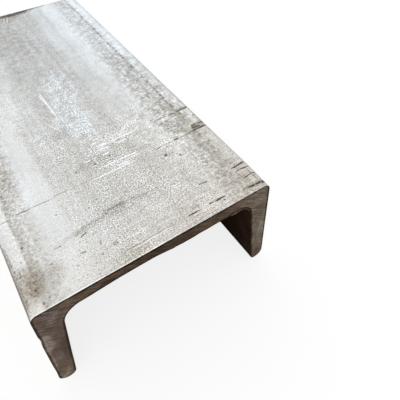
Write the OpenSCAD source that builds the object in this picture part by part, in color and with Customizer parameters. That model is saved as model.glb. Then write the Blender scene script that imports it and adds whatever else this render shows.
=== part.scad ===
// Hot-rolled steel channel with tapered flanges: one offcut, sawn square at both ends.
// It lies on the toes of its flanges with the back of the web up.
// X runs across the section, Y along the stock and Z up. The origin is on the floor, under the middle of the piece.

/* [Stock] */
// Length between the sawn ends
stock_length = 210; // [60:5:1000]

/* [Section] */
// Depth of the section, measured across the back of the web
section_depth = 100; // [80:1:200]
// Width of a flange, measured from the back of the web to the toe
flange_width = 50; // [40:1:80]
// Thickness of the web
web_thickness = 6; // [4:0.5:10]
// Thickness of a flange half way between the back of the web and the toe
flange_thickness = 8.5; // [7.5:0.5:14]
// Slope of a flange's inner face against its outer face, in percent
flange_slope = 8; // [2:0.5:10]

/* [Rounds] */
// Radius of the fillet where the web runs into a flange
root_radius = 7; // [3:0.5:12]
// Radius of the heel, where the back of the web meets a flange's outer face
heel_radius = 2.5; // [1:0.25:4]
// Radius of the toe's outer edge
toe_outer_radius = 3; // [1:0.25:3.5]
// Radius of the toe's inner edge
toe_inner_radius = 2.5; // [1:0.25:2.75]

/* [Hidden] */
$fn = 96;

// How far the cut for the trough runs past the toes
cut_past = 5;
// How far a corner's arc runs past the faces it touches
arc_past = 0.001;
// How far a corner's area runs past those faces, as a share of the radius
corner_past = 0.1;

slope = flange_slope / 100;
half_depth = section_depth / 2;
web_underside = flange_width - web_thickness;

// Half the clear width between the flanges at a height above the toes
function half_gap(height) = half_depth - flange_thickness - slope * (height - flange_width / 2);

// Corners of the right-hand half of the section before they are rounded
heel = [half_depth, flange_width];
toe_outer = [half_depth, 0];
toe_inner = [half_gap(0), 0];
root = [half_gap(web_underside), web_underside];

// Unit directions along the faces
across = [1, 0];
up = [0, 1];
taper = (root - toe_inner) / norm(root - toe_inner);

// The area between a sharp corner and an arc of this radius that touches both of the corner's faces.
// Taken off the corner, it leaves it rounded.
module corner_area(corner, face_a, face_b, radius) {
    half_angle = acos(face_a * face_b) / 2;
    touch = radius / tan(half_angle);
    inward = (face_a + face_b) / norm(face_a + face_b);
    centre = corner + inward * (radius - arc_past) / sin(half_angle);
    spread = 1 + corner_past;
    difference() {
        polygon([
            centre,
            centre + spread * (corner + touch * face_a - centre),
            centre + spread * (corner - centre),
            centre + spread * (corner + touch * face_b - centre),
        ]);
        translate(centre) circle(radius);
    }
}

// A shape and its mirror image on the other side of the section's middle
module both_sides() {
    children();
    mirror(across) children();
}

// Space between the flanges, with straight tapered sides and rounded roots
module trough() {
    difference() {
        polygon([
            [-half_gap(-cut_past), -cut_past],
            [half_gap(-cut_past), -cut_past],
            root,
            [-root.x, root.y],
        ]);
        both_sides() corner_area(root, -across, -taper, root_radius);
    }
}

// Rolled section: web on top, flanges down, every corner rounded
module section() {
    difference() {
        translate([-half_depth, 0]) square([section_depth, flange_width]);
        trough();
        both_sides() {
            corner_area(heel, -across, -up, heel_radius);
            corner_area(toe_outer, -across, up, toe_outer_radius);
            corner_area(toe_inner, across, taper, toe_inner_radius);
        }
    }
}

// One piece of rolled stock
module channel() {
    color("#c9c8c3")
        rotate([90, 0, 0])
            linear_extrude(stock_length, center = true)
                section();
}

channel();
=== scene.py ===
"""A sawn offcut of rolled steel channel on its toes: its relief, finishes, studio and camera."""
import math

import bpy
import numpy as np
from mathutils import Matrix, Vector, noise


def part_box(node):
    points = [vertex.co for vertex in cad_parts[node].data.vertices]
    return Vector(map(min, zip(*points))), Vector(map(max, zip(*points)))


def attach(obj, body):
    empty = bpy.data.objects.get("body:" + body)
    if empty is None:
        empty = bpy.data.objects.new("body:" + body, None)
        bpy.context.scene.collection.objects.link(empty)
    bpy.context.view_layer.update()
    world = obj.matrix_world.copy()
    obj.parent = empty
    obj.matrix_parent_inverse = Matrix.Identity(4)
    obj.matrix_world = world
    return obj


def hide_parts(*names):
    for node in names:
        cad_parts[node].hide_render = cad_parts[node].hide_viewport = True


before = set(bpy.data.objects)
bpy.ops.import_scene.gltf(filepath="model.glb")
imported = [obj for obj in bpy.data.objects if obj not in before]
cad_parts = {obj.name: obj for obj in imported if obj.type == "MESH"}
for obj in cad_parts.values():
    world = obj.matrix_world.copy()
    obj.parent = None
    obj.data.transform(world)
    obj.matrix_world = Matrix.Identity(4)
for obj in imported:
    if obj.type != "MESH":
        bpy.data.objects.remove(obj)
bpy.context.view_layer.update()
node_low, node_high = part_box("channel")

MM = 0.001

# Section, in millimetres. The outer sizes come from the frame and the others are the solid's,
# apart from the toes, which are worn a little rounder.
HALF_DEPTH = node_high.x / MM
FLANGE_WIDTH = node_high.z / MM
LENGTH = (node_high.y - node_low.y) / MM
NEAR_END = node_low.y / MM
WEB_THICKNESS = 6.0
FLANGE_THICKNESS = 8.5
FLANGE_SLOPE = 0.08
ROOT_RADIUS = 7.0
HEEL_RADIUS = 2.5
TOE_OUTER_RADIUS = 3.5
TOE_INNER_RADIUS = 2.8

# Mesh: divisions round half of the section and across its thickness, then steps and reaches in millimetres
TOE_DIVISIONS = 6
FLANGE_DIVISIONS = 24
ROOT_DIVISIONS = 44
WEB_DIVISIONS = 24
THICKNESS_DIVISIONS = 8
STATION_STEP = 1.7
END_STEP = 0.4
END_REACH = 4.0
MAP_GAP = 4.0
ARC_STEPS = 24
SHARP_ANGLE = math.radians(38)

# Order of the materials on the mesh
ROLLED, INSIDE, SAWN = range(3)

# Sawn faces, in millimetres
EDGE_ROUND = 0.15
SAW_WAVE = 0.05
SAW_WAVE_LENGTH = 3.4
SAW_WAVE_REACH = 60.0
SAW_ANGLE = math.radians(-34)

# Rings of a sawn rim from the cut outwards: shares of the round, inwards and along
RIM_STEPS = [(1.0, 0.0), (0.3, 0.3)]

# Ragged outer edge of a cut: depth, mean and swing, then the size and row of each noise in it
RAGGED_EDGE = 0.4
RAGGED_MEAN = 0.5
RAGGED_SWING = 0.3
RAGGED_NOISE = [(3.1, 1.0), (11.0, 4.0)]

# The two ends: whether it is the far one, and the seed of its noise
ENDS = [(False, 2.5), (True, 31.5)]

# Burr under the web at the near end, and the worn edge beside it, in millimetres
BURR_FROM = 1.5
BURR_TO = 34.0
BURR_START = 0.8
BURR_TAPER = 5.0
BURR_DROP = 0.7
BURR_MEAN = 0.8
BURR_SWING = 0.6
BURR_REACH = 1.6
WORN_FROM = -32.0
WORN_START = 14.0
WORN_TAPER = 6.0
WORN_RISE = 0.9
UNDERSIDE_MARGIN = 0.1

# Lip of burr at the near end, round the centre of the right-hand root, in millimetres
LIP_CENTRE = (33.5, 37.0)
LIP_FROM = 29.5
LIP_START = 1.5
LIP_TAPER = 3.0
LIP_DROP = 1.3
LIP_THINNING = 0.5
LIP_SWING = 0.5
LIP_REACH = 0.9

# Noise in the relief: size across and along the stock, and seed
OUTER_WAVES = (17.0, 55.0, 3.1)
INNER_WAVES = (13.0, 40.0, 11.3)
ROLL_LINE_BREAKS = (60.0, 14.0, 7.7)
BURR_BREAKS = (4.0, 1.0, 5.3)
LIP_BREAKS = (2.0, 1.0, 9.1)
BURR_ROW = 0.5

# Rolled surface, in millimetres
ROLL_LINE = 43.3
ROLL_LINE_SHIFT = 0.7
ROLL_LINE_WIDTH = 0.6
ROLL_LINE_DEPTH = 0.08
ROLL_LINE_MEAN = 0.8
ROLL_LINE_SWING = 0.5
WAVE_HEIGHT = 0.05

# Cuts across the right-hand heel: distance from the near end, first and last place across
HEEL_CUTS = [
    (3.3, 39.5, 50.5),
    (9.1, 43.5, 50.5),
    (13.6, 43.2, 50.5),
    (16.4, 42.4, 50.0),
    (45.5, 43.0, 50.5),
    (48.0, 42.2, 50.5),
]
HEEL_CUT_WIDTH = 0.3
HEEL_CUT_TAPER = 2.0
HEEL_CUT_DEPTH = 0.22

# Wear of the right-hand heel at the near end, in millimetres
HEEL_WEAR = 0.4
HEEL_WEAR_WIDTH = 2.0
HEEL_WEAR_REACH = 9.0

# Dents in the left-hand flange at the near end: height above the toes, reach and depth
DENTS = [
    (34.5, 1.8, 0.45),
    (9.0, 4.0, 0.15),
    (0.8, 1.7, 0.35),
]
DENT_LENGTH = 3.0

# Finish of the rolled face. Places are millimetres across from the web's middle and along from the near end.
# Pale strip beside the left-hand heel: middle, half width and softness
LEFT_STRIP = (-47.2, 2.5, 0.6)

# Bands along the stock: middle, half width, softness, change of tone at the near and at the far end
# The change from near to far is partly painted light: the fall of the light along the stock and a sheen at
# the far right
BANDS = [
    (*LEFT_STRIP, 0.18, 0.10),
    (-37.5, 2.5, 3.0, 0.06, -0.13),
    (-30.5, 2.5, 4.5, 0.09, 0.04),
    (-19.0, 2.5, 5.0, 0.04, 0.08),
    (-9.5, 5.0, 9.0, -0.05, -0.13),
    (2.5, 2.0, 5.0, -0.05, -0.09),
    (8.0, 1.5, 3.0, -0.03, -0.06),
    (12.5, 1.0, 4.5, -0.07, -0.09),
    (21.5, 3.0, 4.0, -0.04, 0.05),
    (24.2, 1.0, 2.5, 0.00, -0.05),
    (28.5, 3.0, 4.0, 0.01, 0.12),
    (34.5, 2.0, 3.5, -0.05, -0.03),
    (40.8, 1.6, 3.0, -0.08, -0.02),
    (46.4, 2.8, 0.8, -0.03, 0.12),
]

# Dark scratches and dashes, and a dark line along the far top edge: ends, half width and strength
DARK_STROKES = [
    ((-47.2, 42.3), (-44.2, 42.3), 0.15, 0.50),
    ((-41.0, 43.2), (-35.3, 43.2), 0.20, 0.75),
    ((-36.0, 43.3), (-25.8, 43.1), 0.14, 0.55),
    ((-26.5, 43.7), (-19.5, 44.0), 0.16, 0.45),
    ((-20.0, 43.7), (-5.0, 43.5), 0.12, 0.30),
    ((-23.6, 23.2), (-10.5, 23.6), 0.14, 0.35),
    ((-27.0, 21.9), (-1.0, 22.0), 0.14, 0.28),
    ((-24.3, 20.0), (-21.8, 20.4), 0.22, 0.75),
    ((-34.2, 20.3), (-31.2, 20.1), 0.15, 0.50),
    ((-27.3, 13.4), (-25.0, 13.4), 0.16, 0.55),
    ((-15.5, 4.9), (13.0, 5.3), 0.13, 0.45),
    ((-40.0, 1.0), (-8.0, 0.8), 0.12, 0.25),
    ((12.8, 5.3), (17.9, 5.3), 0.20, 1.00),
    ((17.8, 5.1), (19.6, 5.2), 0.18, 0.50),
    ((23.0, 5.5), (24.1, 5.6), 0.25, 0.80),
    ((23.9, 5.5), (31.0, 5.4), 0.24, 1.00),
    ((15.8, 7.4), (20.0, 7.8), 0.13, 0.50),
    ((25.0, 16.1), (29.6, 15.9), 0.20, 1.00),
    ((7.0, 1.6), (32.0, 1.6), 0.13, 0.30),
    ((41.6, 15.7), (49.6, 16.1), 0.30, 1.00),
    ((42.2, 13.6), (50.2, 13.1), 0.26, 0.95),
    ((42.4, 8.6), (50.2, 8.9), 0.24, 0.95),
    ((38.2, 3.7), (45.0, 3.3), 0.34, 0.75),
    ((41.5, 3.4), (46.2, 3.1), 0.45, 1.00),
    ((45.6, 3.0), (50.8, 3.0), 0.55, 1.00),
    ((46.9, 13.2), (47.0, 4.5), 0.16, 0.65),
    ((42.2, 13.4), (42.6, 9.4), 0.10, 0.45),
    ((21.0, 43.7), (24.6, 44.3), 0.20, 0.75),
    ((25.5, 44.3), (30.0, 44.4), 0.16, 0.70),
    ((30.6, 44.5), (33.2, 44.6), 0.30, 0.95),
    ((33.9, 44.5), (35.6, 44.5), 0.20, 0.75),
    ((36.0, 44.7), (40.5, 45.0), 0.20, 0.50),
    ((40.3, 45.1), (50.4, 45.5), 0.40, 0.95),
    ((41.8, 46.9), (46.2, 46.7), 0.45, 0.85),
    ((42.6, 48.6), (45.4, 48.5), 0.30, 0.75),
    ((46.4, 48.3), (49.3, 48.5), 0.40, 0.80),
    ((28.3, 62.2), (29.5, 62.3), 0.25, 0.60),
    ((30.5, 61.0), (34.0, 61.1), 0.22, 0.80),
    ((34.6, 61.0), (37.0, 61.0), 0.16, 0.65),
    ((37.8, 61.1), (40.2, 61.3), 0.30, 0.85),
    ((42.2, 61.2), (48.8, 61.7), 0.40, 0.80),
    ((29.5, 57.6), (33.0, 57.6), 0.22, 0.80),
    ((47.5, 54.6), (49.8, 54.8), 0.45, 0.70),
    ((-20.1, 79.0), (-15.0, 81.2), 0.15, 0.35),
    ((-4.0, 208.6), (17.0, 209.0), 2.20, 0.85),
    ((8.0, 209.2), (29.0, 209.5), 0.90, 0.65),
    ((24.0, 209.7), (42.0, 209.7), 0.25, 0.40),
]

# Small dark pits: place, half width and strength
PITS = [
    ((22.8, 38.4), 0.45, 0.90),
    ((26.0, 38.2), 0.25, 0.80),
    ((28.2, 35.0), 0.38, 0.75),
    ((29.3, 4.0), 0.30, 0.80),
    ((34.0, 25.8), 0.35, 0.60),
    ((33.6, 23.4), 0.30, 0.50),
    ((43.4, 59.4), 0.50, 0.60),
    ((-44.6, 8.4), 0.22, 0.95),
    ((-43.5, 27.2), 0.30, 0.80),
    ((-48.9, 22.4), 0.25, 0.60),
    ((-48.6, 19.0), 0.25, 0.50),
    ((-47.6, 16.0), 0.30, 0.60),
    ((-45.6, 21.6), 0.20, 0.50),
    ((-48.6, 6.6), 0.25, 0.50),
    ((-44.0, 2.6), 0.25, 0.50),
    ((-37.0, 15.1), 0.25, 0.50),
    ((-24.0, 19.8), 0.22, 0.80),
    ((-23.2, 20.1), 0.25, 0.85),
    ((-22.3, 20.4), 0.22, 0.80),
    ((-34.1, 20.3), 0.16, 0.60),
    ((-31.9, 20.1), 0.20, 0.75),
    ((-26.9, 13.4), 0.18, 0.70),
    ((-26.2, 13.3), 0.18, 0.70),
    ((-25.4, 13.3), 0.20, 0.80),
    ((-29.7, 9.3), 0.20, 0.60),
    ((-20.7, 8.6), 0.25, 0.60),
    ((-19.3, 13.4), 0.25, 0.60),
    ((-28.2, 34.6), 0.25, 0.60),
    ((-16.2, 30.6), 0.30, 0.60),
    ((-4.9, 51.0), 0.40, 0.70),
    ((2.6, 52.0), 0.40, 0.60),
    ((-13.4, 51.0), 0.40, 0.60),
    ((-9.8, 63.4), 0.35, 0.45),
    ((-15.0, 10.3), 0.70, 0.40),
]

# Bright scratches: ends, half width and strength
BRIGHT_STROKES = [
    ((0.5, 60.4), (5.0, 60.5), 0.20, 1.00),
    ((5.0, 60.4), (18.5, 60.5), 0.15, 1.00),
    ((-2.0, 59.8), (10.0, 60.0), 0.06, 0.50),
    ((16.5, 60.8), (21.5, 61.5), 0.08, 0.50),
    ((20.2, 61.4), (21.6, 62.8), 0.40, 0.45),
    ((26.0, 58.6), (28.2, 59.3), 0.20, 0.50),
    ((31.5, 59.5), (34.5, 59.7), 0.20, 0.55),
    ((38.0, 58.0), (40.5, 58.1), 0.20, 0.55),
    ((-0.5, 63.3), (9.0, 63.3), 0.10, 0.70),
    ((9.3, 63.2), (12.2, 63.3), 0.15, 0.90),
    ((11.0, 62.1), (16.2, 62.2), 0.10, 0.65),
    ((14.0, 64.5), (16.2, 64.9), 0.50, 0.35),
    ((-1.2, 63.2), (0.6, 63.3), 0.35, 0.60),
    ((0.2, 65.3), (2.8, 65.2), 0.30, 0.45),
    ((2.0, 62.2), (12.0, 62.1), 0.06, 0.50),
    ((8.8, 57.7), (13.5, 57.7), 0.18, 0.95),
    ((-1.5, 57.7), (5.0, 57.9), 0.14, 0.85),
    ((-0.5, 58.9), (3.5, 59.0), 0.30, 0.35),
    ((-5.0, 57.8), (-4.3, 57.8), 0.20, 0.60),
    ((-8.3, 54.2), (-5.0, 54.3), 0.20, 1.00),
    ((-3.8, 54.4), (-2.4, 54.4), 0.16, 0.70),
    ((0.2, 54.2), (3.4, 54.3), 0.22, 1.00),
    ((-4.5, 47.4), (4.0, 47.7), 0.12, 0.90),
    ((-0.2, 48.5), (1.2, 48.7), 0.15, 0.60),
    ((4.5, 47.7), (14.0, 47.4), 0.15, 1.00),
    ((6.0, 45.7), (16.0, 46.3), 0.10, 0.80),
    ((-6.0, 50.6), (2.0, 50.7), 0.06, 0.50),
    ((2.6, 44.4), (8.8, 44.3), 0.65, 0.50),
    ((-12.0, 42.9), (10.5, 43.1), 0.12, 0.90),
    ((-12.0, 4.4), (6.0, 4.7), 0.18, 0.75),
    ((-1.9, 66.5), (-1.8, 56.5), 0.10, 0.45),
    ((2.0, 66.4), (5.0, 66.0), 0.10, 0.50),
    ((1.8, 68.9), (8.7, 70.0), 0.08, 0.40),
    ((-8.6, 112.5), (-7.4, 98.0), 0.13, 0.75),
    ((-7.8, 114.5), (-6.8, 92.0), 0.13, 0.70),
    ((-7.6, 102.0), (-7.0, 88.0), 0.14, 0.55),
    ((-5.9, 95.0), (-5.4, 80.0), 0.12, 0.55),
    ((-12.8, 87.3), (-9.0, 79.2), 0.15, 0.75),
    ((2.6, 206.0), (0.2, 197.5), 0.35, 0.45),
    ((0.4, 205.0), (-1.5, 198.0), 0.30, 0.40),
]

# Rust and dirt, and a darkening along the far top edge: ends, half width and strength
STAINS = [
    ((-45.5, 7.5), (-42.6, 14.0), 6.5, 1.00),
    ((-48.6, 16.0), (-43.5, 18.0), 3.8, 0.80),
    ((-48.0, 5.0), (-48.0, 17.0), 3.0, 0.60),
    ((-41.5, 7.0), (-36.0, 13.0), 6.0, 0.55),
    ((-49.4, 0.0), (-49.4, 32.0), 1.6, 0.85),
    ((43.0, 46.9), (48.5, 47.1), 2.8, 0.75),
    ((41.2, 16.0), (40.2, 52.0), 2.8, 0.28),
    ((41.5, 52.0), (41.5, 72.0), 2.8, 0.35),
    ((32.0, 12.0), (42.0, 8.0), 7.0, 0.10),
    ((44.0, 61.5), (48.5, 61.7), 2.4, 0.60),
    ((43.0, 3.2), (49.0, 3.2), 2.2, 0.50),
    ((-2.0, 208.0), (20.0, 209.5), 6.0, 0.90),
]

# Smudges, in the same form
SMUDGES = [
    ((-13.0, 24.4), (-4.0, 25.0), 2.8, 0.80),
    ((-34.0, 21.0), (-12.0, 24.0), 1.8, 0.60),
    ((-4.0, 25.0), (6.0, 24.4), 1.8, 0.40),
    ((-16.0, 26.4), (-7.0, 26.7), 1.2, 0.35),
    ((-20.0, 45.0), (-21.0, 100.0), 9.0, 0.22),
    ((-12.0, 53.0), (4.0, 51.0), 6.0, 0.30),
    ((34.0, 48.5), (34.5, 58.0), 4.0, 0.55),
    ((-14.0, 76.0), (-6.0, 79.0), 5.5, 0.40),
    ((-37.5, 52.0), (-35.5, 78.0), 6.0, 0.45),
    ((1.0, 200.0), (6.0, 206.0), 6.0, 0.55),
]

# Patches rubbed bright, in the same form
RUBBED = [
    ((0.0, 66.0), (-2.5, 104.0), 9.5, 0.90),
    ((4.0, 96.0), (2.0, 132.0), 10.0, 0.80),
    ((-2.0, 62.0), (14.0, 62.0), 7.0, 0.60),
    ((2.0, 46.0), (12.0, 48.0), 5.0, 0.40),
    ((46.5, 52.0), (46.5, 72.0), 3.0, 0.50),
]

# Light patches on the sawn ends: ends across and up, half width and strength
BRIGHT_END_PATCHES = [
    ((-48.6, 24.0), (-48.0, 36.5), 3.2, 0.75),
    ((-49.2, 9.0), (-49.2, 26.0), 1.2, 0.7),
    ((-47.8, 2.0), (-46.5, 8.0), 3.4, 0.9),
    ((-47.0, 40.0), (-42.0, 47.0), 4.0, 0.35),
    ((47.4, 12.0), (47.4, 30.0), 2.6, 0.3),
    ((-24.0, 47.8), (-12.0, 47.6), 1.6, 0.5),
    ((42.0, 44.0), (48.0, 44.0), 3.5, 0.2),
]

# Dark patches on the sawn ends, in the same form
DARK_END_PATCHES = [
    ((-26.0, 46.0), (34.0, 46.0), 7.0, 0.6),
    ((-10.0, 46.5), (10.0, 46.5), 4.0, 0.8),
    ((46.5, 1.0), (46.5, 6.0), 3.5, 0.7),
    ((49.7, 6.0), (49.7, 22.0), 0.9, 1.0),
    ((-44.0, 12.0), (-42.5, 32.0), 2.4, 0.35),
]

# Marks fade out at their half width times the spread, plus the softness
STROKE_SPREAD = 1.5
STROKE_SOFT = 0.16

# Where the bands change from their near to their far tone, and where the flanges' faces begin
FAR_FROM = 60.0
FAR_TO = 205.0
FLANGE_FROM = 51.0
FLANGE_FULL = 54.0

# Tones before any change, and the colours from tone 0 to tone 1
STEEL_TONE = 0.66
SAWN_TONE = 0.60
INSIDE_SHADE_TONE = 0.44
STEEL_RAMP = [
    (0.0, (0.062, 0.053, 0.046)),
    (0.3, (0.306, 0.296, 0.284)),
    (0.55, (0.555, 0.55, 0.54)),
    (0.75, (0.745, 0.75, 0.755)),
    (1.0, (0.97, 0.985, 1.0)),
]
# Colours of the sawn ends: dark brown, partly their own dulling and partly painted shade of the ends turned
# from the light
SAWN_RAMP = [
    (0.0, (0.008, 0.004, 0.002)),
    (0.3, (0.045, 0.026, 0.013)),
    (0.5, (0.102, 0.069, 0.045)),
    (0.75, (0.20, 0.156, 0.119)),
    (1.0, (0.43, 0.38, 0.32)),
]
# Colours of the inner faces: dark brown, painted shade inside the trough
INSIDE_SHADE_RAMP = [
    (0.0, (0.010, 0.005, 0.003)),
    (0.5, (0.036, 0.019, 0.013)),
    (1.0, (0.13, 0.088, 0.060)),
]

# Tints and colours of marks; the cool and warm tints make a painted reflection, the heel and rim colours
# painted shade
WARM_TINT = (1.0, 0.957, 0.88)
COOL_TINT = (0.905, 0.96, 1.0)
STAIN_COLOUR = (0.49, 0.42, 0.345)
HEEL_SHADE_COLOUR = (0.20, 0.165, 0.14)
RIM_SHADE_COLOUR = (0.09, 0.065, 0.047)
SCRATCH_COLOUR = (0.92, 0.94, 0.97)
MARK_COLOUR = (0.10, 0.066, 0.042)
SAWN_TOE_TINT = (0.96, 0.885, 0.80)
SAWN_LEFT_TINT = (0.94, 0.895, 0.935)
SAWN_WEB_TINT = (1.0, 0.88, 0.80)
SAWN_RIGHT_TINT = (1.0, 0.97, 0.91)

# Camera, from the outline of the sawn end and the long edges in the 400 pixel frame
PICTURE_SIDE = 400
FOCAL_PIXELS = 450.28
AXIS_COLUMN = 207.40
AXIS_ROW = 116.36
SENSOR_WIDTH = 36.0
EYE = Vector((-42.03, -191.51, 189.98)) * MM
LOOK = Vector((0.43683, 0.62717, -0.64486))
UP = Vector((0.36649, 0.53059, 0.76430))

# Studio, in metres and watts. Lamps: name, place, size and power
WHITE = (1.0, 1.0, 1.0, 1.0)
SEEN_RAYS = ("Is Camera Ray", "Is Glossy Ray", "Is Transmission Ray")
FLOOR_COLOUR = (0.8, 0.8, 0.8)
FLOOR_SHADOW_COLOUR = (0.3, 0.3, 0.3)
FLOOR_GLOW = 0.82
FLOOR_SIZE = 6.0
FLOOR_DIVISIONS = 4
FLOOR_DROP = 0.02 * MM
AMBIENT = 0.55
LAMP_TARGET = Vector((0, 0, 0.03))
LAMPS = [
    ("key", Vector((0.25, 0.55, 0.6)), 0.6, 0.7),
    ("fill", Vector((-0.6, -0.5, 0.5)), 0.8, 0.5),
]


def half_gap(height):
    """Half the clear width between the flanges at a height above the toes."""
    return HALF_DEPTH - FLANGE_THICKNESS - FLANGE_SLOPE * (height - FLANGE_WIDTH / 2)


def unit(vector):
    return np.asarray(vector, float) / np.linalg.norm(vector)


def touches(corner, face_a, face_b, radius):
    """Where an arc in this corner touches its two faces, and the arc's centre."""
    half_angle = math.acos(np.dot(face_a, face_b)) / 2
    reach = radius / math.tan(half_angle)
    centre = corner + unit(face_a + face_b) * radius / math.sin(half_angle)
    return corner + reach * face_a, corner + reach * face_b, centre


def arc(start, end, centre):
    """Points of the arc from start to end, the short way round."""
    first = math.atan2(*(start - centre)[::-1])
    turn = math.atan2(*(end - centre)[::-1]) - first
    turn = (turn + math.pi) % (2 * math.pi) - math.pi
    angles = first + turn * np.linspace(0, 1, ARC_STEPS)
    return centre + np.linalg.norm(start - centre) * np.column_stack([np.cos(angles), np.sin(angles)])


def lengths_along(points):
    steps = np.linalg.norm(np.diff(points, axis=0), axis=1)
    return np.concatenate([[0], np.cumsum(steps)])


def even_points(curves, divisions):
    """Evenly spaced points along curves that follow each other."""
    points = np.vstack(curves)
    along = lengths_along(points)
    wanted = np.linspace(0, along[-1], divisions + 1)
    return np.column_stack([np.interp(wanted, along, points[:, axis]) for axis in (0, 1)])


def section_paths():
    """The outer and the inner side of the section from the right toe to the left, point facing point."""
    across = np.array([1.0, 0.0])
    up = np.array([0.0, 1.0])
    web_underside = FLANGE_WIDTH - WEB_THICKNESS
    toe_corner = np.array([half_gap(0), 0])
    root_corner = np.array([half_gap(web_underside), web_underside])
    taper = unit(root_corner - toe_corner)
    outer_corner = np.array([HALF_DEPTH, 0])
    heel_corner = np.array([HALF_DEPTH, FLANGE_WIDTH])

    outer_flat, outer_side, outer_centre = touches(outer_corner, -across, up, TOE_OUTER_RADIUS)
    inner_flat, inner_side, inner_centre = touches(toe_corner, across, taper, TOE_INNER_RADIUS)
    root_side, root_web, root_centre = touches(root_corner, -taper, -across, ROOT_RADIUS)
    heel_side, heel_web, heel_centre = touches(heel_corner, -up, -across, HEEL_RADIUS)
    toe_middle = (outer_flat + inner_flat) / 2
    flange_top = np.array([HALF_DEPTH, root_side[1]])
    web_start = np.array([root_web[0], FLANGE_WIDTH])

    stretches = [
        (
            [[toe_middle], arc(outer_flat, outer_side, outer_centre)],
            [[toe_middle], arc(inner_flat, inner_side, inner_centre)],
            TOE_DIVISIONS,
        ),
        ([[outer_side, flange_top]], [[inner_side, root_side]], FLANGE_DIVISIONS),
        (
            [[flange_top], arc(heel_side, heel_web, heel_centre), [web_start]],
            [arc(root_side, root_web, root_centre)],
            ROOT_DIVISIONS,
        ),
        (
            [[web_start, [0, FLANGE_WIDTH]]],
            [[root_web, [0, web_underside]]],
            WEB_DIVISIONS,
        ),
    ]
    paths = []
    for side in (0, 1):
        pieces = [even_points(stretch[side], stretch[2]) for stretch in stretches]
        half = np.vstack([pieces[0]] + [piece[1:] for piece in pieces[1:]])
        mirrored = half[-2::-1] * [-1, 1]
        paths.append(np.vstack([half, mirrored]))
    return paths


def across_places(path):
    """Distance along a path from the middle of the web, positive on the right."""
    along = lengths_along(path)
    return along[-1] / 2 - along


def outward(ring):
    """Unit normals of a closed ring of section points."""
    tangent = np.roll(ring, -1, axis=0) - np.roll(ring, 1, axis=0)
    normal = np.column_stack([tangent[:, 1], -tangent[:, 0]])
    return normal / np.linalg.norm(normal, axis=1)[:, None]


def station_places():
    """Distances from the near end at which the section is repeated."""
    near = np.arange(EDGE_ROUND, END_REACH, END_STEP)
    middle = np.arange(END_REACH, LENGTH - END_REACH, STATION_STEP)
    cuts = [
        place + step * HEEL_CUT_WIDTH
        for place, _, _ in HEEL_CUTS
        for step in (-2, -1, 0, 1, 2)
    ]
    places = np.unique(np.round(np.concatenate([near, middle, LENGTH - near, cuts]), 2))
    kept = np.concatenate([[True], np.diff(places) > HEEL_CUT_WIDTH / 2])
    return places[kept]


def bump(distance, width):
    return np.exp(-((distance / width) ** 2))


def rise(value, start, length):
    """Straight from 0 to 1 over this length from start."""
    return np.clip((value - start) / length, 0, 1)


def fall(value, end, length):
    """Straight from 1 to 0 over this length up to end."""
    return np.clip((end - value) / length, 0, 1)


def noise_at(across, along, pattern):
    """Smooth noise from -1 to 1 at arrays of places, with a pattern's size across and along and its seed."""
    wide, long, seed = pattern
    grids = np.broadcast_arrays(across / wide, along / long, seed)
    flat = np.column_stack([np.ravel(grid) for grid in grids])
    values = [noise.noise(Vector(point)) for point in flat]
    return np.reshape(values, grids[0].shape)


def rolled_relief(across, along):
    """Height of the outer surface over the plain section, in millimetres."""
    distance = np.abs(across + ROLL_LINE_SHIFT)
    wave = WAVE_HEIGHT * (noise_at(across, along, OUTER_WAVES) - 1)
    line = bump(distance - ROLL_LINE, ROLL_LINE_WIDTH)
    breaks = ROLL_LINE_MEAN + ROLL_LINE_SWING * noise_at(across, along, ROLL_LINE_BREAKS)
    line = line * ROLL_LINE_DEPTH * breaks
    height = wave - line
    for place, first, last in HEEL_CUTS:
        reach = rise(across, first, HEEL_CUT_TAPER) * fall(across, last, HEEL_CUT_TAPER)
        height = height - HEEL_CUT_DEPTH * reach * bump(along - place, HEEL_CUT_WIDTH)
    heel_middle = HALF_DEPTH - HEEL_RADIUS * (1 - math.pi / 4)
    height = height - HEEL_WEAR * bump(across - heel_middle, HEEL_WEAR_WIDTH) * bump(along, HEEL_WEAR_REACH)
    heel_place = HALF_DEPTH - HEEL_RADIUS * (2 - math.pi / 2)
    for level, reach, depth in DENTS:
        middle = -(heel_place + FLANGE_WIDTH - level)
        height = height - depth * bump(across - middle, reach) * bump(along, DENT_LENGTH)
    return height


def inner_relief(across, along):
    """Height of the inner surface over the plain section, in millimetres."""
    return WAVE_HEIGHT * (noise_at(across, along, INNER_WAVES) - 1)


def saw_relief(points, seed):
    """How far the sawn face lies behind the plane of the cut, in millimetres."""
    across_marks = points[..., 0] * -math.sin(SAW_ANGLE) + points[..., 1] * math.cos(SAW_ANGLE)
    along_marks = points[..., 0] * math.cos(SAW_ANGLE) + points[..., 1] * math.sin(SAW_ANGLE)
    wave = noise_at(across_marks, along_marks, (SAW_WAVE_LENGTH, SAW_WAVE_REACH, seed))
    return SAW_WAVE * (1 + wave)


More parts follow.
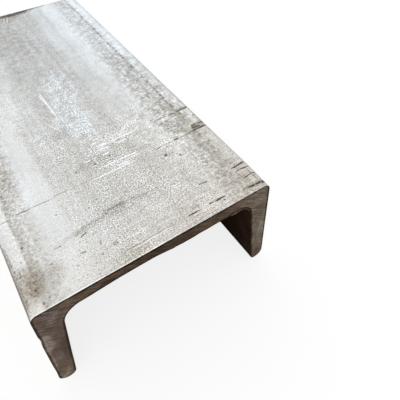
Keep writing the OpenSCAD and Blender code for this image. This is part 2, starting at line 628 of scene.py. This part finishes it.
class ChannelMesh:
    """Vertices, faces and surface coordinates of the channel, gathered patch by patch."""

    def __init__(self):
        self.vertices = []
        self.faces = []
        self.materials = []
        self.places = []
        self.flat_maps = []

    def add_vertices(self, points):
        """Adds points of any array shape and returns their numbers in that shape."""
        points = np.asarray(points)
        first = len(self.vertices)
        self.vertices.extend(points.reshape(-1, 3))
        return first + np.arange(points[..., 0].size).reshape(points.shape[:-1])

    def add_patch(self, numbers, places, flat_map, material, flip=False):
        """Adds the faces of a grid of vertices, with the surface coordinates of their corners."""
        steps = [(0, 0), (0, 1), (1, 1), (1, 0)]
        if flip:
            steps = steps[::-1]
        rows, columns = numbers.shape
        for row in range(rows - 1):
            for column in range(columns - 1):
                corners = {}
                for down, right in steps:
                    at = (row + down, column + right)
                    corners.setdefault(numbers[at], at)
                self.faces.append([int(number) for number in corners])
                self.materials.append(material)
                self.places.extend(places[at] for at in corners.values())
                self.flat_maps.extend(flat_map[at] for at in corners.values())

    def build(self, name, materials):
        """Makes the object, with its surface coordinates and its flat map."""
        mesh = bpy.data.meshes.new(name)
        mesh.from_pydata(np.array(self.vertices) * MM, [], self.faces)
        for material in materials:
            mesh.materials.append(material)
        mesh.polygons.foreach_set("material_index", self.materials)
        mesh.polygons.foreach_set("use_smooth", [True] * len(self.faces))
        attribute = mesh.attributes.new("place", "FLOAT_VECTOR", "CORNER")
        attribute.data.foreach_set("vector", np.ravel(self.places))
        uv_map = mesh.uv_layers.new(name="OFBake")
        flat = np.array(self.flat_maps)
        flat = flat / flat.max()
        uv_map.uv.foreach_set("vector", flat.ravel())
        mesh.set_sharp_from_angle(angle=SHARP_ANGLE)
        mesh.update()
        made = bpy.data.objects.new(name, mesh)
        bpy.context.scene.collection.objects.link(made)
        return made


def in_space(points, along):
    """Section points placed at distances from the near end."""
    along = np.broadcast_to(along, points.shape[:-1])
    return np.stack([points[..., 0], NEAR_END + along, points[..., 1]], axis=-1)


def channel_piece(materials):
    """The whole channel as one closed mesh: outer side, inner side and the two sawn ends."""
    outer, inner = section_paths()
    count = len(outer)
    ring = np.vstack([outer, inner[-2:0:-1]])
    normals = outward(ring)
    outer_across = across_places(outer)
    inner_across = across_places(inner)
    ring_across = np.concatenate([outer_across, inner_across[-2:0:-1]])
    is_outer = np.arange(len(ring)) < count

    # Fine relief along the stock
    stations = station_places()
    across_grid, along_grid = np.meshgrid(ring_across, stations, indexing="ij")
    height = np.where(
        is_outer[:, None],
        rolled_relief(across_grid, along_grid),
        inner_relief(across_grid, along_grid),
    )
    section = ring[:, None, :] + normals[:, None, :] * height[..., None]

    # Burr that hangs from the web's underside at the near end, and the worn edge beside it
    place = section[..., 0]
    hang = rise(place, BURR_FROM, BURR_START) * fall(place, BURR_TO, BURR_TAPER)
    hang = hang * (BURR_MEAN + BURR_SWING * noise_at(place, BURR_ROW, BURR_BREAKS))
    worn = rise(place, WORN_FROM, WORN_START) * fall(place, BURR_FROM, WORN_TAPER)
    under = ring[:, 1:] > FLANGE_WIDTH - WEB_THICKNESS - UNDERSIDE_MARGIN
    stand = (BURR_DROP * hang - WORN_RISE * worn) * fall(along_grid, BURR_REACH, BURR_REACH) * under

    # Lip of burr round the right-hand root
    lip = rise(place, LIP_FROM, LIP_START) * rise(section[..., 1], LIP_CENTRE[1], LIP_TAPER)
    lip = lip * (1 - LIP_THINNING * rise(place, LIP_CENTRE[0], ROOT_RADIUS))
    lip = lip * (1 + LIP_SWING * noise_at(place, BURR_ROW, LIP_BREAKS))
    lip = lip * fall(along_grid, LIP_REACH, LIP_REACH)
    stand = (stand + LIP_DROP * lip) * ~is_outer[:, None]
    section += normals[:, None, :] * stand[..., None]

    # Rounded and slightly ragged rims round the two cuts
    ends = {}
    for at_far_end, seed in ENDS:
        edge = section[:, -1 if at_far_end else 0]
        ragged = RAGGED_MEAN
        for size, row in RAGGED_NOISE:
            ragged = ragged + RAGGED_SWING * noise_at(ring_across, row, (size, 1.0, seed))
        back = RAGGED_EDGE * ragged * is_outer
        rim = []
        for inset, depth in RIM_STEPS:
            points = edge - normals * (EDGE_ROUND * inset)
            place = back * (1 - depth) + EDGE_ROUND * depth + saw_relief(points, seed) * (1 - depth)
            rim.append((points, place))
        ends[at_far_end] = rim

    # Rings of vertices from the near to the far cut, and the outer and the inner side between them
    mesh = ChannelMesh()
    rings = [in_space(points, place) for points, place in ends[False]]
    rings.extend(in_space(section[:, j], station) for j, station in enumerate(stations))
    rings.extend(in_space(points, LENGTH - place) for points, place in reversed(ends[True]))
    grid = np.stack(rings, axis=1)
    numbers = mesh.add_vertices(grid)
    along = grid[..., 1] - NEAR_END
    outer_numbers = np.arange(count)
    inner_numbers = np.concatenate([[0], np.arange(len(ring) - 1, count - 1, -1), [count - 1]])

    outer_width = outer_across[0] * 2
    inner_shift = outer_width + MAP_GAP + inner_across[0]
    for rows, across, material, shift in (
        (outer_numbers, outer_across, ROLLED, outer_width / 2),
        (inner_numbers, inner_across, INSIDE, inner_shift),
    ):
        wide = np.broadcast_to(across[:, None], (count, grid.shape[1]))
        places = np.stack([wide, along[rows], np.zeros_like(wide)], axis=-1)
        flat_map = np.stack([wide + shift, along[rows]], axis=-1)
        mesh.add_patch(numbers[rows], places, flat_map, material, flip=material == INSIDE)

    # Sawn ends, as a grid across the thickness
    share = np.linspace(0, 1, THICKNESS_DIVISIONS + 1)[None, :, None]
    for at_far_end, seed in ENDS:
        rim_points, _ = ends[at_far_end][0]
        facing = rim_points[outer_numbers][:, None], rim_points[inner_numbers][:, None]
        points = facing[0] * (1 - share) + facing[1] * share
        place = saw_relief(points, seed)
        plane = LENGTH - place if at_far_end else place
        cap = np.empty(points.shape[:2], int)
        cap[:, 0] = numbers[outer_numbers, -1 if at_far_end else 0]
        cap[:, -1] = numbers[inner_numbers, -1 if at_far_end else 0]
        cap[0, :] = cap[0, 0]
        cap[-1, :] = cap[-1, 0]
        cap[1:-1, 1:-1] = mesh.add_vertices(in_space(points, plane)[1:-1, 1:-1])
        thickness = np.linalg.norm(facing[1] - facing[0], axis=-1)
        rim_distance = thickness * np.minimum(share, 1 - share)[..., 0]
        places = np.dstack([points, rim_distance])
        map_shift = HALF_DEPTH + at_far_end * (2 * HALF_DEPTH + MAP_GAP)
        flat_map = points + [map_shift, LENGTH + MAP_GAP]
        mesh.add_patch(cap, places, flat_map, SAWN, flip=not at_far_end)
    return mesh.build("channel_stock", materials)


def faded_width(half_width):
    """Half width at which a mark has faded out."""
    return half_width * STROKE_SPREAD + STROKE_SOFT


class Graph:
    """Short names for building the nodes of one material."""

    def __init__(self, name):
        self.material = bpy.data.materials.new(name)
        self.material.use_nodes = True
        self.tree = self.material.node_tree
        self.shader = self.tree.nodes["Principled BSDF"]

    def set(self, socket, value):
        if isinstance(value, bpy.types.NodeSocket):
            self.tree.links.new(value, socket)
        else:
            socket.default_value = value

    def place(self):
        """Across, along and rim distance, in millimetres."""
        node = self.tree.nodes.new("ShaderNodeAttribute")
        node.attribute_name = "place"
        return node.outputs["Vector"]

    def parts(self, vector):
        node = self.tree.nodes.new("ShaderNodeSeparateXYZ")
        self.set(node.inputs[0], vector)
        return node.outputs

    def vector(self, x, y):
        node = self.tree.nodes.new("ShaderNodeCombineXYZ")
        for socket, value in zip(node.inputs, (x, y)):
            self.set(socket, value)
        return node.outputs[0]

    def math(self, operation, *values, clamp=False):
        node = self.tree.nodes.new("ShaderNodeMath")
        node.operation = operation
        node.use_clamp = clamp
        for socket, value in zip(node.inputs, values):
            self.set(socket, value)
        return node.outputs[0]

    def total(self, *values):
        result = values[0]
        for value in values[1:]:
            result = self.math("ADD", result, value)
        return result

    def times(self, *values):
        result = values[0]
        for value in values[1:]:
            result = self.math("MULTIPLY", result, value)
        return result

    def fade(self, value, start, end, low=0.0, high=1.0):
        """Goes smoothly from low to high as value goes from start to end."""
        node = self.tree.nodes.new("ShaderNodeMapRange")
        node.interpolation_type = "SMOOTHSTEP"
        node.clamp = False
        for name, number in (("From Min", start), ("From Max", end), ("To Min", low), ("To Max", high)):
            node.inputs[name].default_value = number
        self.set(node.inputs["Value"], value)
        return node.outputs["Result"]

    def stripe(self, value, centre, half_width, soft):
        """One inside a stripe round centre, fading to zero over soft."""
        distance = self.math("ABSOLUTE", self.math("SUBTRACT", value, centre))
        return self.fade(distance, half_width, half_width + soft, 1.0, 0.0)

    def noise(self, vector, size, detail, roughness=0.5, stretch=1.0):
        """Noise from 0 to 1 with spots of about this size, longer along the stock by stretch."""
        scaled = self.vector_math("MULTIPLY", vector, (1 / size, 1 / (size * stretch), 1 / size))
        node = self.tree.nodes.new("ShaderNodeTexNoise")
        node.inputs["Scale"].default_value = 1.0
        node.inputs["Detail"].default_value = detail
        node.inputs["Roughness"].default_value = roughness
        self.set(node.inputs["Vector"], scaled)
        return node.outputs["Fac"]

    def swing(self, noise, amount):
        """Noise from 0 to 1 as a swing of this amount round zero."""
        return self.times(self.math("SUBTRACT", noise, 0.5), amount)

    def vector_math(self, operation, first, second, output="Vector"):
        node = self.tree.nodes.new("ShaderNodeVectorMath")
        node.operation = operation
        self.set(node.inputs[0], first)
        self.set(node.inputs[1], second)
        return node.outputs[output]

    def distance(self, place, centre):
        return self.vector_math("DISTANCE", place, (*centre, 0.0), "Value")

    def way_round(self, place, start, end):
        """Length of the way from start to end by a place: it is the same all round an oval."""
        return self.math("ADD", self.distance(place, start), self.distance(place, end))

    def stroke(self, place, start, end, half_width, strength):
        """A straight mark between two places: a long thin oval with soft sides."""
        length = math.dist(start, end)
        rim = math.hypot(length, 2 * half_width)
        outside = math.hypot(length, 2 * faded_width(half_width))
        return self.fade(self.way_round(place, start, end), rim, outside, strength, 0.0)

    def spot(self, place, centre, half_width, strength):
        """A round mark with a soft rim."""
        return self.fade(self.distance(place, centre), half_width, faded_width(half_width), strength, 0.0)

    def smear(self, place, start, end, half_width, strength):
        """A soft oval between two places, fading from its middle line to nothing at its rim."""
        length = math.dist(start, end)
        rim = math.hypot(length, 2 * half_width)
        return self.fade(self.way_round(place, start, end), length, rim, strength, 0.0)

    def strongest(self, mark, place, values):
        """The strongest of several marks of one kind at each place, joined one by one."""
        result = mark(place, *values[0])
        for value in values[1:]:
            result = self.math("MAXIMUM", result, mark(place, *value))
        return result

    def ramp(self, value, stops):
        node = self.tree.nodes.new("ShaderNodeValToRGB")
        elements = node.color_ramp.elements
        while len(elements) < len(stops):
            elements.new(0.5)
        for element, (position, colour) in zip(elements, stops):
            element.position = position
            element.color = (*colour, 1.0)
        self.set(node.inputs[0], value)
        return node.outputs["Color"]

    def mix(self, share, colour_a, colour_b, blend="MIX"):
        node = self.tree.nodes.new("ShaderNodeMix")
        node.data_type = "RGBA"
        node.blend_type = blend
        sockets = (node.inputs[0], node.inputs[6], node.inputs[7])
        for socket, value in zip(sockets, (share, colour_a, colour_b)):
            self.set(socket, (*value, 1.0) if isinstance(value, tuple) else value)
        return node.outputs[2]

    def bump(self, height, depth):
        """Fine relief in the shading, with its depth in millimetres."""
        node = self.tree.nodes.new("ShaderNodeBump")
        node.inputs["Distance"].default_value = depth * MM
        self.set(node.inputs["Height"], height)
        self.set(self.shader.inputs["Normal"], node.outputs[0])

    def finish(self, **inputs):
        """Sets the shader's inputs, named in lower case with underscores."""
        for name, value in inputs.items():
            title = name.replace("_", " ").title().replace("Ior", "IOR")
            self.set(self.shader.inputs[title], value)
        return self.material


def band_and_light_tones(g, across, along):
    """Change of tone in the bands along the stock, from the near to the far end: partly rolled bands, partly
    painted light.
    """
    tones = []
    for middle, half_width, soft, near_tone, far_tone in BANDS:
        change = g.fade(along, FAR_FROM, FAR_TO, near_tone, far_tone)
        tones.append(g.times(g.stripe(across, middle, half_width, soft), change))
    return g.total(*tones)


def rolled_material():
    """Pickled rolled steel: pale grey with a fine mottle, bands along the stock, scratches and stains, and
    painted light: shade along the heels and by the cut ends, a highlight on the near top edge, a cool
    reflection in its tint and light in its band tones.
    """
    g = Graph("rolled_steel")
    place = g.place()
    across, along, _ = g.parts(place)
    distance = g.math("ABSOLUTE", across)
    near = g.fade(along, 0.0, 70.0, 1.0, 0.0)

    # Fine structure
    grain = g.noise(place, 0.5, detail=1.0)
    speck = g.noise(g.vector_math("ADD", place, (70.0, 20.0, 0.0)), 0.75, detail=1.0)
    coarse = g.noise(place, 1.5, detail=2.0)
    mottle = g.noise(place, 3.6, detail=3.0, roughness=0.6)
    cloud = g.noise(place, 15.0, detail=3.0, stretch=2.0)
    streak = g.noise(place, 1.8, detail=2.0, stretch=25.0)
    hatch = g.noise(g.vector(along, across), 0.45, detail=1.0, stretch=30.0)

    # Zones across the section
    bent = g.total(across, g.swing(cloud, 3.0), g.swing(mottle, 1.6))
    from_line = g.math("ABSOLUTE", g.total(across, ROLL_LINE_SHIFT))
    line = g.stripe(from_line, ROLL_LINE, 0.3, 0.7)
    near_left = g.times(
        g.fade(across, -40.0, -35.5),
        g.fade(across, 10.0, 0.0),
        g.fade(along, 35.0, 70.0, 0.7, 0.0),
    )
    rough_zone = g.times(
        g.stripe(g.total(from_line, g.swing(mottle, 8.0)), 38.6, 3.6, 5.0),
        g.math("SUBTRACT", 1.0, near_left),
    )
    smooth_right = g.times(g.stripe(bent, 22.5, 5.0, 5.0), g.fade(along, 60.0, 95.0))
    smooth_left = g.times(
        g.stripe(bent, -30.5, 2.0, 6.0),
        g.fade(along, 4.0, 34.0),
        g.fade(along, 70.0, 110.0, 0.8, 0.0),
    )
    polished = g.math("MAXIMUM", smooth_right, smooth_left)
    widened = g.total(bent, g.fade(along, 40.0, 60.0, 0.0, -4.5))
    left_dark = g.times(
        g.fade(across, -44.5, -43.9),
        g.fade(widened, -43.0, -39.5, 1.0, 0.0),
        g.fade(along, 30.0, 65.0, 0.35, 1.0),
        g.fade(along, 14.0, 22.0),
    )
    # Painted shade: a thin dark line along both heels, where the rounded edge turns from the light
    painted_heel_shade = g.stripe(distance, 50.6, 0.4, 0.9)
    scuffed = g.smear(place, (-2.0, 50.0), (10.0, 60.0), 15.0, 1.0)
    far_left = g.times(g.fade(along, 110.0, 180.0), g.fade(across, 12.0, -4.0))
    busy = g.times(g.stripe(across, 5.0, 15.0, 24.0), g.fade(along, 65.0, 120.0, 1.0, 0.0))
    flange = g.fade(distance, FLANGE_FROM, FLANGE_FULL)
    from_end = g.math("MINIMUM", along, g.math("SUBTRACT", LENGTH, along))
    # Painted shade: dark brown on the flanges' faces within a millimetre of each cut
    flange_rim_shade = g.times(g.fade(distance, HALF_DEPTH, FLANGE_FROM), g.fade(from_end, 0.5, 1.0, 1.0, 0.0))
    # Painted highlight: a thin bright line along the near top edge of the web
    painted_rim_highlight = g.times(g.fade(along, 0.4, 1.0, 1.0, 0.0), g.fade(across, 12.0, -6.0))

    # Marks, slightly wavy and broken
    wave = g.noise(place, 3.0, detail=2.0)
    wavy = g.vector_math("ADD", place, g.vector(g.swing(mottle, 0.8), g.swing(wave, 1.0)))
    broken = g.fade(coarse, 0.36, 0.48, 0.35, 1.0)
    strokes = g.strongest(g.stroke, wavy, DARK_STROKES)
    dark = g.math("MAXIMUM", g.times(strokes, broken), g.strongest(g.spot, wavy, PITS))
    bright = g.strongest(g.stroke, wavy, BRIGHT_STROKES)
    stain = g.strongest(g.smear, wavy, STAINS)
    smudge = g.strongest(g.smear, wavy, SMUDGES)
    rubbed_zone = g.strongest(g.smear, wavy, RUBBED)
    rubbed = g.times(rubbed_zone, g.fade(g.total(cloud, mottle), 0.8, 1.15))

    # Tone of the steel without its fine structure
    bands = band_and_light_tones(g, bent, along)
    line_tone = g.times(
        line,
        g.fade(coarse, 0.3, 0.65, -0.22, -0.05),
        g.fade(across, -1.0, 1.0, 0.4, 1.0),
        g.fade(along, 20.0, 70.0, 0.4, 1.0),
    )
    left_tone = g.times(left_dark, g.fade(speck, 0.35, 0.65, -0.18, 0.0))
    corner_tone = g.times(g.stripe(across, *LEFT_STRIP), g.stripe(along, 10.0, 5.0, 3.0), -0.14)
    left_end_tone = g.times(g.fade(across, -38.0, -34.0, 1.0, 0.0), g.fade(along, 3.0, 6.0, -0.06, 0.0))
    flange_tone = g.times(flange, -0.05)
    middle_tone = g.times(g.stripe(along, 85.0, 45.0, 30.0), -0.006)
    end_shade = g.times(g.stripe(across, -12.0, 5.0, 6.0), g.fade(along, 3.0, 8.0, -0.08, 0.0))
    end_glow = g.times(g.stripe(across, 3.0, 6.0, 7.0), g.fade(along, 14.0, 26.0, 0.05, 0.0))
    base = g.total(
        STEEL_TONE,
        bands,
        line_tone,
        left_tone,
        corner_tone,
        left_end_tone,
        flange_tone,
        middle_tone,
        end_shade,
        end_glow,
        g.swing(cloud, 0.20),
        g.times(rubbed, 0.03),
        g.times(rubbed_zone, 0.03),
        g.times(polished, g.fade(across, -10.0, 10.0, 0.01, -0.03)),
    )

    # Tone with its fine structure: rough zones, grain, mottle, hatching, specks and marks
    rough_tone = g.times(
        rough_zone,
        g.total(g.fade(speck, 0.35, 0.65, -0.11, 0.08), g.swing(coarse, 0.55)),
        g.fade(along, 110.0, 190.0, 1.0, 0.65),
    )
    grain_depth = g.times(
        g.total(
            0.64,
            g.times(busy, 0.80),
            g.times(rubbed_zone, 0.45),
            g.times(scuffed, 0.60),
            g.times(far_left, 0.25),
        ),
        g.fade(g.total(cloud, mottle), 0.75, 1.25, 0.55, 1.45),
        g.fade(along, 0.0, 30.0, 0.75, 1.0),
    )
    mottle_depth = g.total(
        g.fade(along, 25.0, 90.0, 0.16, 0.32),
        g.times(far_left, 0.16),
        g.times(
            g.fade(across, 10.0, 34.0),
            g.total(0.26, g.times(g.stripe(along, 58.0, 14.0, 16.0), 0.24)),
        ),
    )
    hatch_depth = g.times(near, g.fade(across, -32.0, -5.0, 0.35, 1.0), 0.42)
    texture = g.total(
        rough_tone,
        g.swing(grain, grain_depth),
        g.swing(coarse, 0.20),
        g.swing(mottle, mottle_depth),
        g.swing(streak, 0.16),
        g.swing(hatch, hatch_depth),
        g.times(g.fade(speck, 0.60, 0.70), g.total(-0.22, g.times(scuffed, -0.16))),
        g.times(g.fade(speck, 0.45, 0.32), g.total(g.times(rubbed, 0.48), 0.06)),
        g.times(painted_rim_highlight, 0.24),
        g.times(stain, g.fade(speck, 0.48, 0.66, 0.06, -0.20)),
        g.times(smudge, g.fade(hatch, 0.35, 0.6, -0.32, -0.13)),
    )
    flange_calm = g.fade(distance, FLANGE_FROM, FLANGE_FULL, 1.0, 0.4)
    calm = g.times(flange_calm, g.fade(polished, 0.0, 1.0, 1.0, 0.5))
    tone = g.total(base, g.times(texture, calm), g.times(g.swing(streak, 0.36), flange))

    # Colour: warm or cool by place and tone, the cool a painted reflection, then stains, painted shade along
    # the heels and at the rims, scratches and marks
    steel = g.ramp(tone, STEEL_RAMP)
    place_tint = g.total(
        g.times(across, g.total(along, -90.0), 4e-5),
        g.times(rubbed_zone, 0.15),
        g.times(polished, g.fade(across, -10.0, 10.0, 0.10, 0.0)),
        g.fade(across, -44.6, -43.8, -0.24, 0.0),
        g.fade(across, -27.0, -17.0, -0.15, 0.03),
        g.fade(along, 0.0, 25.0, -0.18, 0.0),
        g.times(g.stripe(along, 125.0, 30.0, 45.0), g.fade(across, -22.0, -6.0, 0.0, 0.15)),
    )
    # Painted reflection: cooler towards the far end and where paler, on rubbed and polished zones, warmer at
    # the near end
    painted_cool_reflection = g.total(-0.82, g.times(along, 0.0026), g.times(base, 1.35), g.times(tone, 0.37))
    painted_cool_reflection = g.math("ADD", painted_cool_reflection, place_tint, clamp=True)
    steel = g.mix(1.0, steel, g.mix(painted_cool_reflection, WARM_TINT, COOL_TINT), "MULTIPLY")
    stained = g.times(
        stain,
        g.fade(g.total(mottle, coarse), 0.82, 1.12, 0.25, 1.0),
        g.fade(grain, 0.2, 0.6, 0.6, 1.0),
        g.fade(g.total(along, g.fade(across, -30.0, -20.0, 0.0, 10.0)), 1.5, 4.0),
    )
    colour = g.mix(stained, steel, STAIN_COLOUR, "MULTIPLY")
    colour = g.mix(g.times(painted_heel_shade, 0.75), colour, HEEL_SHADE_COLOUR)
    colour = g.mix(flange_rim_shade, colour, RIM_SHADE_COLOUR)
    colour = g.mix(g.times(bright, g.total(g.times(broken, 0.3), 0.7)), colour, SCRATCH_COLOUR)
    colour = g.mix(dark, colour, MARK_COLOUR)
    g.bump(grain, 0.04)
    roughness = g.total(g.fade(tone, 0.35, 0.9, 0.6, 0.36), g.times(stain, 0.15))
    return g.finish(base_color=colour, metallic=0.7, roughness=roughness)


def sawn_material():
    """Sawn steel, dark brown partly from dulling and partly as painted shade of the ends, with fine marks of
    the blade, painted shade round its rim and beside the lip, and painted light towards the right.
    """
    g = Graph("sawn_steel")
    place = g.place()
    x, z, rim = g.parts(place)
    across_marks = g.total(g.times(x, -math.sin(SAW_ANGLE)), g.times(z, math.cos(SAW_ANGLE)))
    along_marks = g.total(g.times(x, math.cos(SAW_ANGLE)), g.times(z, math.sin(SAW_ANGLE)))
    marks_place = g.vector(across_marks, along_marks)
    marks = g.noise(marks_place, 0.75, detail=2.0, stretch=14.0)
    fine_marks = g.noise(marks_place, 0.3, detail=1.0, stretch=20.0)
    patch = g.noise(place, 6.0, detail=4.0, roughness=0.6)
    grain = g.noise(place, 0.5, detail=1.0)
    flat_place = g.vector(x, z)
    light_patch = g.strongest(g.smear, flat_place, BRIGHT_END_PATCHES)
    dark_patch = g.strongest(g.smear, flat_place, DARK_END_PATCHES)
    marked = g.fade(z, 20.0, 40.0, 0.35, 1.0)
    # Painted shade: darker in a thin band round the rim of each sawn face
    painted_rim_shade = g.fade(g.total(rim, g.swing(patch, 1.2)), 0.3, 1.0, 1.0, 0.0)
    worn = g.fade(patch, 0.2, 0.7)
    root_place = g.vector(g.math("MAXIMUM", x, LIP_CENTRE[0]), z)
    from_root = g.distance(root_place, LIP_CENTRE)
    at_root = g.times(
        g.fade(x, LIP_FROM - 1.0, LIP_FROM + 1.0),
        g.fade(z, LIP_CENTRE[1], LIP_CENTRE[1] + 2.0),
    )
    # Painted shadow: a dark line just outside the burr lip at the root; on the lip itself the painted rim
    # shade is weaker, as if lit
    lip_shadow_line = g.times(g.stripe(from_root, ROOT_RADIUS + 0.2, 0.25, 0.4), at_root)
    on_lip = g.times(g.fade(from_root, ROOT_RADIUS - 0.4, ROOT_RADIUS, 1.0, 0.0), at_root)
    tone = g.total(
        SAWN_TONE,
        g.times(g.swing(marks, 0.8), marked),
        g.times(g.swing(fine_marks, 0.4), marked),
        g.swing(patch, 0.5),
        g.swing(grain, 0.4),
        g.fade(x, -46.0, -30.0, 0.07, -0.02),
        # Painted light: lighter towards the right, where more light falls on the ends
        g.fade(x, -10.0, 48.0, 0.0, 0.15),
        g.times(light_patch, worn, 0.36),
        g.times(dark_patch, -0.26),
        g.times(painted_rim_shade, g.fade(on_lip, 0.0, 1.0, -0.5, -0.1)),
        g.times(lip_shadow_line, -0.6),
    )
    colour = g.ramp(tone, SAWN_RAMP)
    left_tint = g.mix(g.fade(z, 4.0, 20.0), SAWN_TOE_TINT, SAWN_LEFT_TINT)
    tint = g.mix(g.fade(x, -44.0, -34.0), left_tint, SAWN_WEB_TINT)
    tint = g.mix(g.fade(x, 28.0, 42.0), tint, SAWN_RIGHT_TINT)
    colour = g.mix(1.0, colour, tint, "MULTIPLY")
    g.bump(g.total(marks, g.times(grain, 0.4)), 0.06)
    return g.finish(base_color=colour, metallic=0.2, roughness=0.65, specular_ior_level=0.1)


def inside_material():
    """Inner faces, painted dark brown as the shade inside the trough, with a mottle, painted light at the
    open near end and a painted highlight on the burr lip.
    """
    g = Graph("inner_painted_shade")
    place = g.place()
    cloud = g.noise(place, 9.0, detail=3.0)
    grain = g.noise(place, 0.9, detail=2.0, roughness=0.6)
    across, along, _ = g.parts(place)
    # Painted highlight: the burr lip at the right-hand root is lighter next to the cut
    lip = g.times(g.stripe(across, 37.0, 3.5, 3.0), g.fade(along, 0.6, 1.8, 1.0, 0.0))
    tone = g.total(
        INSIDE_SHADE_TONE,
        # Painted light: lighter at the open near end, darker deeper inside
        g.fade(along, 0.0, 40.0, 0.14, -0.16),
        g.times(lip, 0.5),
        g.swing(grain, 0.4),
        g.swing(cloud, 0.4),
    )
    # Painted shade: the inner faces are coloured dark for the shade inside the trough
    colour = g.ramp(tone, INSIDE_SHADE_RAMP)
    g.bump(grain, 0.05)
    return g.finish(base_color=colour, metallic=0.0, roughness=0.85, specular_ior_level=0.0)


def add_floor():
    """Pale floor that looks white to the camera and in reflections, and keeps a soft shadow."""
    bpy.ops.mesh.primitive_grid_add(
        x_subdivisions=FLOOR_DIVISIONS, y_subdivisions=FLOOR_DIVISIONS, size=FLOOR_SIZE
    )
    floor = bpy.context.object
    floor.name = "floor"
    floor.location.z = -FLOOR_DROP
    g = Graph("floor_paper")
    light_path = g.tree.nodes.new("ShaderNodeLightPath")
    seen = g.total(*(light_path.outputs[name] for name in SEEN_RAYS))
    g.finish(
        base_color=g.mix(seen, FLOOR_COLOUR, FLOOR_SHADOW_COLOUR),
        roughness=0.9,
        specular_ior_level=0.0,
        emission_color=WHITE,
        emission_strength=g.times(seen, FLOOR_GLOW),
    )
    floor.data.materials.append(g.material)


def add_world():
    """White to the camera and in reflections, and a soft even light otherwise."""
    world = bpy.data.worlds.new("studio")
    bpy.context.scene.world = world
    world.use_nodes = True
    tree = world.node_tree
    ambient = tree.nodes["Background"]
    ambient.inputs["Strength"].default_value = AMBIENT
    ambient.inputs["Color"].default_value = WHITE
    white = tree.nodes.new("ShaderNodeBackground")
    white.inputs["Color"].default_value = WHITE
    light_path = tree.nodes.new("ShaderNodeLightPath")
    total = light_path.outputs[SEEN_RAYS[0]]
    for name in SEEN_RAYS[1:]:
        add = tree.nodes.new("ShaderNodeMath")
        tree.links.new(total, add.inputs[0])
        tree.links.new(light_path.outputs[name], add.inputs[1])
        total = add.outputs[0]
    mixed = tree.nodes.new("ShaderNodeMixShader")
    tree.links.new(total, mixed.inputs[0])
    tree.links.new(ambient.outputs[0], mixed.inputs[1])
    tree.links.new(white.outputs[0], mixed.inputs[2])
    tree.links.new(mixed.outputs[0], tree.nodes["World Output"].inputs["Surface"])


def add_lamp(name, place, size, power):
    """Round soft lamp that points at the channel."""
    light = bpy.data.lights.new(name, "AREA")
    light.shape = "DISK"
    light.size = size
    light.energy = power
    lamp = bpy.data.objects.new(name, light)
    lamp.location = place
    lamp.rotation_euler = (LAMP_TARGET - place).to_track_quat("-Z", "Y").to_euler()
    bpy.context.scene.collection.objects.link(lamp)


def add_camera():
    """Camera at the fitted place, shifted to the framing."""
    camera = bpy.data.cameras.new("camera")
    camera.sensor_width = SENSOR_WIDTH
    camera.lens = FOCAL_PIXELS / PICTURE_SIDE * SENSOR_WIDTH
    camera.shift_x = (PICTURE_SIDE / 2 - AXIS_COLUMN) / PICTURE_SIDE
    camera.shift_y = (AXIS_ROW - PICTURE_SIDE / 2) / PICTURE_SIDE
    camera.clip_start = MM
    right = LOOK.cross(UP)
    turn = Matrix((right, UP, -LOOK)).transposed()
    view = bpy.data.objects.new("camera", camera)
    view.matrix_world = Matrix.Translation(EYE) @ turn.to_4x4()
    bpy.context.scene.collection.objects.link(view)
    bpy.context.scene.camera = view


channel = channel_piece([rolled_material(), inside_material(), sawn_material()])
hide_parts("channel")
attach(channel, "root")

add_floor()
add_world()
for lamp_values in LAMPS:
    add_lamp(*lamp_values)
add_camera()
bpy.context.scene.view_settings.view_transform = "Standard"
